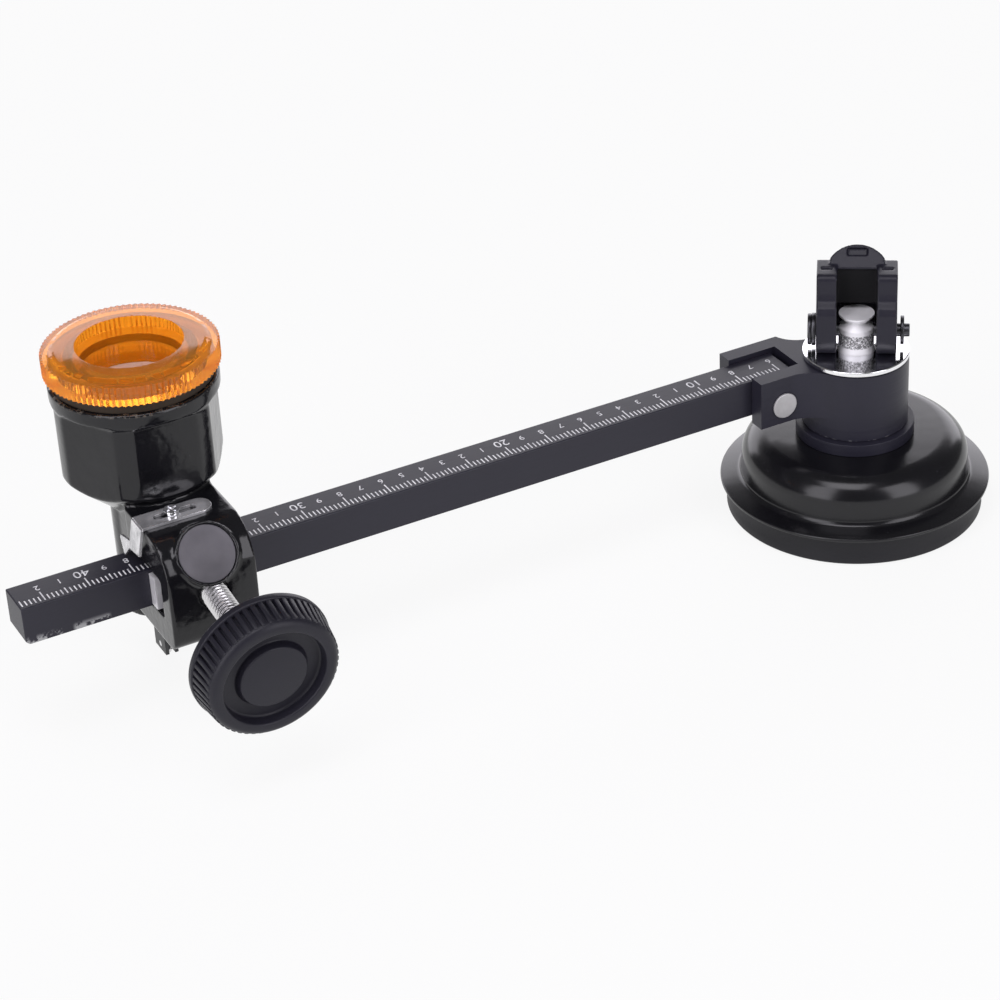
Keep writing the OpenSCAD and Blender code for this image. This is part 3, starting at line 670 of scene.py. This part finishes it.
# %% Turn the knob's body
knob_at, knob_t, knob_root, knob_tip, front_round = 29.17, 8.7, 14.5, 15.4, 1.7
socket_r, socket_deep, ring_r = 2.9, 4.7, 15.6
well_r, well_floor, boss_r, boss_top = 11.4, 6.1, 7.5, 7.9
profile = [(0, socket_deep), (socket_r, socket_deep), (socket_r, 0)]
profile += arc((ring_r - 0.5, 0.5), 0.5, -90, 0, 4) + arc((ring_r - 0.4, 1.4), 0.4, 0, 90, 4)
profile += [(knob_root, 1.9)]
profile += arc((knob_root - front_round, knob_t - front_round), front_round, 0, 90, 8)
profile += arc((well_r + 0.5, knob_t - 0.5), 0.5, 90, 180, 4)
profile += arc((well_r - 0.7, well_floor + 0.6), 0.6, 0, -90, 4)
profile += arc((boss_r + 0.8, well_floor + 0.4), 0.4, 270, 180, 4)
profile += arc((boss_r - 0.4, boss_top - 0.4), 0.4, 0, 90, 4) + [(0, boss_top)]
knob = turned("knob", profile, 144, closed=False)
print("knob's body:", len(knob.data.polygons), "faces")

# %% Helpers for a small block and for its corners
def block(name, size, middle):
    """A block of this size round this middle, in millimetres."""
    deselect()
    bpy.ops.mesh.primitive_cube_add(size=1)
    piece = just_added(name)
    piece.dimensions = [side * mm for side in size]
    piece.location = [way * mm for way in middle]
    alone(piece)
    bpy.ops.object.transform_apply(location=True, rotation=True, scale=True)
    return piece

def pick(piece, wanted):
    """Selects the corners of a mesh for which a test holds, and stays in edit mode."""
    alone(piece)
    bpy.ops.object.mode_set(mode="EDIT")
    bpy.ops.mesh.select_mode(type="VERT")
    bpy.ops.mesh.select_all(action="DESELECT")
    bpy.ops.object.mode_set(mode="OBJECT")
    for corner in piece.data.vertices:
        corner.select = wanted(corner.co)
    bpy.ops.object.mode_set(mode="EDIT")

print("blocks can be added and their corners picked")

# %% Set the ribs round it
ribs, rib_sunk, rib_wide, rib_long = 54, 0.5, 1.12, 6.0
rib_mid, rib_pull, rib_ease = 4.7, 0.8, 0.24
rib = block("rib", (knob_tip - knob_root + rib_sunk, rib_wide, rib_long),
            ((knob_tip + knob_root - rib_sunk) / 2, 0, rib_mid))
pick(rib, lambda place: place.x > knob_root * mm and place.z > rib_mid * mm)
bpy.ops.transform.translate(value=(-rib_pull * mm, 0, 0))
bpy.ops.object.mode_set(mode="OBJECT")
modifier(rib, "BEVEL", width=rib_ease * mm, segments=2, limit_method="ANGLE", angle_limit=math.radians(20))
bpy.ops.object.mode_set(mode="EDIT")
bpy.ops.mesh.select_all(action="SELECT")
bpy.ops.mesh.spin(steps=ribs - 1, angle=2 * math.pi * (ribs - 1) / ribs, dupli=True, center=(0, 0, 0),
                  axis=(0, 0, 1))
bpy.ops.object.mode_set(mode="OBJECT")
bpy.ops.object.shade_smooth_by_angle(angle=crease)
knob = joined("knob", [knob, rib])
lay(knob, on_clamp @ Matrix.Translation((0, 0, knob_at * mm)))
stand_for(knob, "clamp_knob", "knob_plastic")

# %% [markdown]
# The printed scale
# The bar's scale is white print: a fine mark each millimetre, a longer one each five and the longest
# each ten. The numbers run along the back half and read from the far side. They count a circle's
# diameter in centimetres, two for every centimetre of arm, and only the tens are printed in full. The
# marks are one thin block each, repeated by an Array modifier, and the numbers are text made into mesh.

# %% Print the marks
bar_front, bar_top, first_x = 3.1, 37.9, -18.03
ink, ink_mid, ink_ease, mark_wide = 0.03, 0.01, 0.008, 0.3
fine_near, fine_far, five_far, ten_far = 1.04, 2.9, 3.3, 4.54
fine_count, ten_count = 186, 19

def marks(name, start, step, count, near, far):
    """A row of equal marks from start outwards, all values in millimetres."""
    row = block(name, (mark_wide, far - near, ink), (start, bar_front + (near + far) / 2, bar_top + ink_mid))
    modifier(row, "BEVEL", width=ink_ease * mm, segments=1, limit_method="ANGLE")
    modifier(row, "ARRAY", count=count, use_relative_offset=False, use_constant_offset=True,
             constant_offset_displace=(step * mm, 0, 0))
    return row

scale = joined("scale_marks", [marks("marks_fine", first_x, -1, fine_count, fine_near, fine_far),
                               marks("marks_five", first_x - 5, -10, ten_count, fine_far, five_far),
                               marks("marks_ten", first_x, -10, ten_count, fine_far, ten_far)])
settle(scale, "bar", "black_anodised", print_white)
print("marks:", fine_count)

# %% Print the numbers
first_label, last_label, label_step = 6, 42, 5
tens_print, unit_print = (3.6, 6.6), (2.5, 6.3)
numbers = []
for label in range(first_label, last_label + 1):
    tens = label % 10 == 0
    size, back = tens_print if tens else unit_print
    deselect()
    bpy.ops.object.text_add()
    text = bpy.context.object
    text.data.body = str(label) if tens else str(label % 10)
    text.data.align_x, text.data.align_y = "CENTER", "CENTER"
    text.data.size = size * mm
    text.data.extrude = ink / 2 * mm
    text.data.resolution_u = 4
    bpy.ops.object.convert(target="MESH")
    middle = Vector((first_x - (label - first_label) * label_step, bar_front + back, bar_top + ink_mid)) * mm
    lay(text, Matrix.Translation(middle) @ Matrix.Rotation(math.pi, 4, "Z"))
    numbers.append(text)
settle(joined("scale_numbers", numbers), "bar", "black_anodised", print_white)
print("numbers:", len(numbers))
